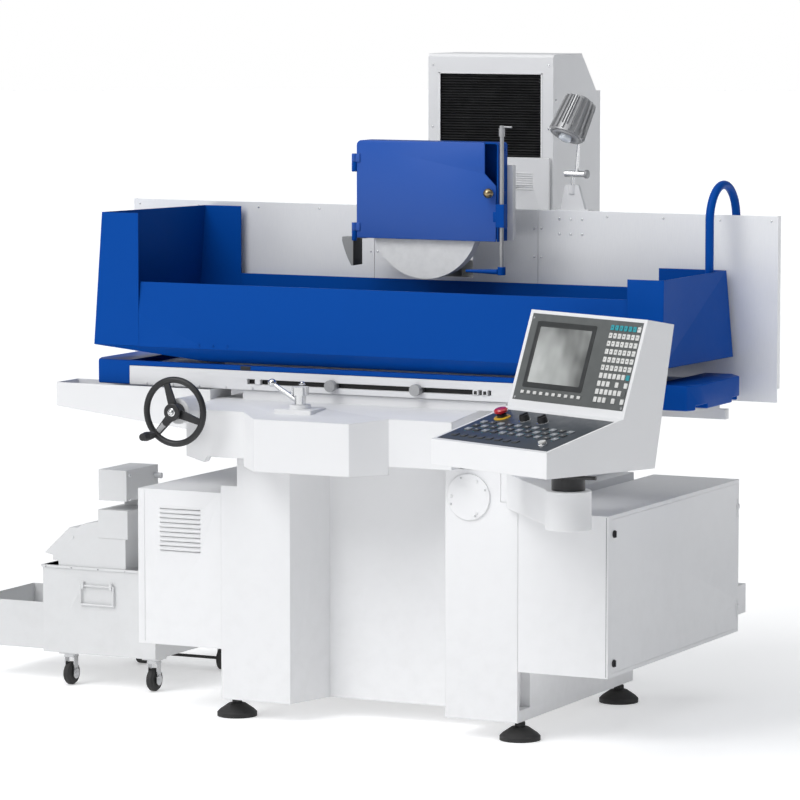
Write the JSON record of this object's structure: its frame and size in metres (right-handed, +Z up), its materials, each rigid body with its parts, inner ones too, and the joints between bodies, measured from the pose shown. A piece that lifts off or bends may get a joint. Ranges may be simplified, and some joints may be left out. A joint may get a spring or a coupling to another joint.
{
  "type": "surface grinder",
  "caption": "Saddle-type surface grinder: travelling table with splash tray, wheel head on a column, swivelling control console, levelling feet and a wheeled coolant unit.",
  "frame": {"origin": "middle of the machine's footprint, on the floor", "axes": "+X along the table to the operator's right, +Y away from the operator, +Z up"},
  "size_m": [2.623, 1.8404, 1.966],
  "materials": {
    "white_casting": "textured white machine paint",
    "white_sheet": "white powder coat",
    "pale_sheet": "light grey powder coat",
    "plate_sheet": "satin pale sheet",
    "blue_sheet": "blue powder coat",
    "black_part": "black moulded plastic",
    "black_rubber": "black rubber",
    "bare_steel": "ground steel",
    "lamp_alloy": "satin cast alloy",
    "panel_grey": "dark grey keyboard foil",
    "wheel_grit": "white bonded abrasive",
    "red_plastic": "red moulded plastic",
    "white_plastic": "white moulded plastic"
  },
  "bodies": {
    "base": {"base_casting": "white_casting", "levelling_feet": "black_rubber", "inspection_cover": "white_sheet", "left_cabinet": "white_sheet", "right_cabinet": "white_sheet", "guideways": "bare_steel", "column": "white_casting", "column_cover": "white_sheet", "console_bracket": "white_casting", "hydraulic_unit": "bare_steel", "upper_bellows": "black_rubber"},
    "cabinet_door": {"cabinet_door": "white_sheet"},
    "latch_upper": {"latch_upper": "black_part"},
    "latch_lower": {"latch_lower": "black_part"},
    "cross_screw": {"cross_screw": "bare_steel"},
    "elevation_screw": {"elevation_screw": "bare_steel"},
    "saddle": {"saddle": "white_casting", "splash_plate": "plate_sheet", "left_trough": "white_sheet", "lamp_bracket": "white_sheet"},
    "speed_lever": {"speed_lever": "bare_steel"},
    "handwheel": {"handwheel": "black_part"},
    "crank_grip": {"crank_grip": "black_part"},
    "table": {"table": "white_casting", "magnetic_chuck": "bare_steel", "tray_pan": "blue_sheet", "left_hood": "blue_sheet", "right_hood": "blue_sheet", "end_covers": "blue_sheet", "conduit_arch": "blue_sheet"},
    "dog_left": {"dog_left": "bare_steel"},
    "dog_right": {"dog_right": "bare_steel"},
    "head": {"head_slide": "white_casting", "guard_shell": "blue_sheet", "spark_deflector": "pale_sheet", "coolant_post": "bare_steel", "coolant_nozzle": "blue_sheet"},
    "guard_door": {"guard_door": "blue_sheet"},
    "door_knob": {"door_knob": "bare_steel"},
    "coolant_tap": {"coolant_tap": "bare_steel"},
    "spindle": {"spindle": "bare_steel", "grinding_wheel": "wheel_grit"},
    "console": {"console_collar": "black_part", "console_shell": "white_sheet", "console_panel": "panel_grey"},
    "console_clamp": {"console_clamp": "black_part"},
    "e_stop": {"e_stop": "red_plastic"},
    "feed_knob": {"feed_knob": "black_part"},
    "mode_knob": {"mode_knob": "black_part"},
    "cycle_button": {"cycle_button": "white_plastic"},
    "lamp_arm": {"lamp_arm": "lamp_alloy"},
    "lamp_head": {"lamp_head": "lamp_alloy"},
    "coolant_tank": {"coolant_tank": "pale_sheet", "separator": "pale_sheet"},
    "tank_handle": {"tank_handle": "pale_sheet"},
    "caster_fork_1": {"caster_fork_1": "pale_sheet"},
    "caster_fork_2": {"caster_fork_2": "pale_sheet"},
    "caster_wheel_1": {"caster_wheel_1": "black_rubber"},
    "caster_wheel_2": {"caster_wheel_2": "black_rubber"},
    "rear_wheels": {"rear_wheels": "black_rubber"}
  },
  "joints": [
    {"name": "saddle_cross_slide", "type": "slide", "parent": "base", "child": "saddle", "axis": [0, 1, 0], "range_m": [-0.045, 0.22]},
    {"name": "cross_screw_turn", "type": "hinge", "parent": "base", "child": "cross_screw", "pos_m": [0.1215, 0.09019, 0.752], "axis": [0, 1, 0], "range_deg": [-1625, 7925]},
    {"name": "table_traverse", "type": "slide", "parent": "saddle", "child": "table", "axis": [1, 0, 0], "range_m": [-0.4, 0.4]},
    {"name": "handwheel_turn", "type": "hinge", "parent": "saddle", "child": "handwheel", "pos_m": [-0.3065, -0.46981, 0.931], "axis": [0, 1, 0], "range_deg": [-1802, 1802]},
    {"name": "crank_grip_spin", "type": "hinge", "parent": "handwheel", "child": "crank_grip", "pos_m": [-0.36973, -0.50982, 0.86077], "axis": [0, 1, 0], "continuous": true},
    {"name": "speed_lever_turn", "type": "hinge", "parent": "saddle", "child": "speed_lever", "pos_m": [0.0415, -0.33981, 1], "axis": [0, 0, 1], "range_deg": [-30, 30]},
    {"name": "dog_left_slide", "type": "slide", "parent": "table", "child": "dog_left", "axis": [1, 0, 0], "range_m": [-0.22, 0.12]},
    {"name": "dog_right_slide", "type": "slide", "parent": "table", "child": "dog_right", "axis": [1, 0, 0], "range_m": [-0.12, 0.16]},
    {"name": "head_elevation", "type": "slide", "parent": "base", "child": "head", "axis": [0, 0, 1], "range_m": [-0.1, 0.16], "deforming": ["upper_bellows"]},
    {"name": "elevation_screw_turn", "type": "hinge", "parent": "base", "child": "elevation_screw", "pos_m": [0.2485, 0.67319, 1.5], "axis": [0, 0, 1], "range_deg": [-3605, 5765]},
    {"name": "spindle_spin", "type": "hinge", "parent": "head", "child": "spindle", "pos_m": [0.2485, 0.09019, 1.483], "axis": [0, 1, 0], "continuous": true},
    {"name": "guard_door_swing", "type": "hinge", "parent": "head", "child": "guard_door", "pos_m": [0.0225, 0.05319, 1.57], "axis": [0, 0, -1], "range_deg": [0, 110]},
    {"name": "door_knob_turn", "type": "hinge", "parent": "guard_door", "child": "door_knob", "pos_m": [0.4745, 0.04018, 1.568], "axis": [0, 1, 0], "range_deg": [0, 90]},
    {"name": "coolant_tap_turn", "type": "hinge", "parent": "head", "child": "coolant_tap", "pos_m": [0.5205, 0.03019, 1.765], "axis": [0, 0, 1], "range_deg": [0, 90]},
    {"name": "console_swivel", "type": "hinge", "parent": "base", "child": "console", "pos_m": [1.0355, -0.63982, 0.85], "axis": [0, 0, 1], "range_deg": [0, 70]},
    {"name": "console_clamp_turn", "type": "hinge", "parent": "console", "child": "console_clamp", "pos_m": [1.0355, -0.69481, 0.832], "axis": [0, 1, 0], "range_deg": [0, 40]},
    {"name": "e_stop_press", "type": "slide", "parent": "console", "child": "e_stop", "axis": [0.0993, 0.2274, -0.9687], "range_m": [0, 0.006]},
    {"name": "feed_knob_turn", "type": "hinge", "parent": "console", "child": "feed_knob", "pos_m": [0.89068, -0.6141, 0.97487], "axis": [-0.0993, -0.2274, 0.9687], "range_deg": [-135, 135]},
    {"name": "mode_knob_turn", "type": "hinge", "parent": "console", "child": "mode_knob", "pos_m": [0.95941, -0.64412, 0.97487], "axis": [-0.0993, -0.2274, 0.9687], "range_deg": [-60, 60]},
    {"name": "cycle_button_press", "type": "slide", "parent": "console", "child": "cycle_button", "axis": [0.0993, 0.2274, -0.9687], "range_m": [0, 0.003], "stiffness_N_per_m": 600},
    {"name": "lamp_swivel", "type": "hinge", "parent": "saddle", "child": "lamp_arm", "pos_m": [0.6505, 0.25218, 1.58], "axis": [0, 0, 1], "range_deg": [-60, 60]},
    {"name": "lamp_tilt", "type": "hinge", "parent": "lamp_arm", "child": "lamp_head", "pos_m": [0.6785, 0.23619, 1.728], "axis": [1, 0, 0], "range_deg": [-30, 20]},
    {"name": "cabinet_door_swing", "type": "hinge", "parent": "base", "child": "cabinet_door", "pos_m": [1.0175, 0.67188, 0.442], "axis": [0, 0, 1], "range_deg": [0, 110]},
    {"name": "latch_upper_turn", "type": "hinge", "parent": "cabinet_door", "child": "latch_upper", "pos_m": [1.0175, -0.27581, 0.622], "axis": [1, 0, 0], "range_deg": [0, 90]},
    {"name": "latch_lower_turn", "type": "hinge", "parent": "cabinet_door", "child": "latch_lower", "pos_m": [1.0175, -0.27581, 0.248], "axis": [1, 0, 0], "range_deg": [0, 90]},
    {"name": "coolant_unit_roll", "type": "slide", "parent": "base", "child": "coolant_tank", "axis": [0, -1, 0], "range_m": [0, 0.5]},
    {"name": "tank_handle_swing", "type": "hinge", "parent": "coolant_tank", "child": "tank_handle", "pos_m": [-0.8295, -0.03182, 0.322], "axis": [-1, 0, 0], "range_deg": [0, 150]},
    {"name": "caster_swivel_1", "type": "hinge", "parent": "coolant_tank", "child": "caster_fork_1", "pos_m": [-0.9505, 0.01718, 0.09], "axis": [0, 0, 1], "continuous": true},
    {"name": "caster_swivel_2", "type": "hinge", "parent": "coolant_tank", "child": "caster_fork_2", "pos_m": [-0.6545, 0.01718, 0.09], "axis": [0, 0, 1], "continuous": true},
    {"name": "caster_roll_1", "type": "hinge", "parent": "caster_fork_1", "child": "caster_wheel_1", "pos_m": [-0.9505, 0.01718, 0.036], "axis": [1, 0, 0], "continuous": true},
    {"name": "caster_roll_2", "type": "hinge", "parent": "caster_fork_2", "child": "caster_wheel_2", "pos_m": [-0.6545, 0.01718, 0.036], "axis": [1, 0, 0], "continuous": true},
    {"name": "rear_wheels_roll", "type": "hinge", "parent": "coolant_tank", "child": "rear_wheels", "pos_m": [-0.8025, 0.47519, 0.036], "axis": [1, 0, 0], "continuous": true}
  ],
  "couplings": [
    {"joint": "cross_screw_turn", "follows": "saddle_cross_slide", "rad_per_m": 628.32},
    {"joint": "elevation_screw_turn", "follows": "head_elevation", "rad_per_m": 628.32},
    {"joint": "handwheel_turn", "follows": "table_traverse", "rad_per_m": 78.54}
  ]
}
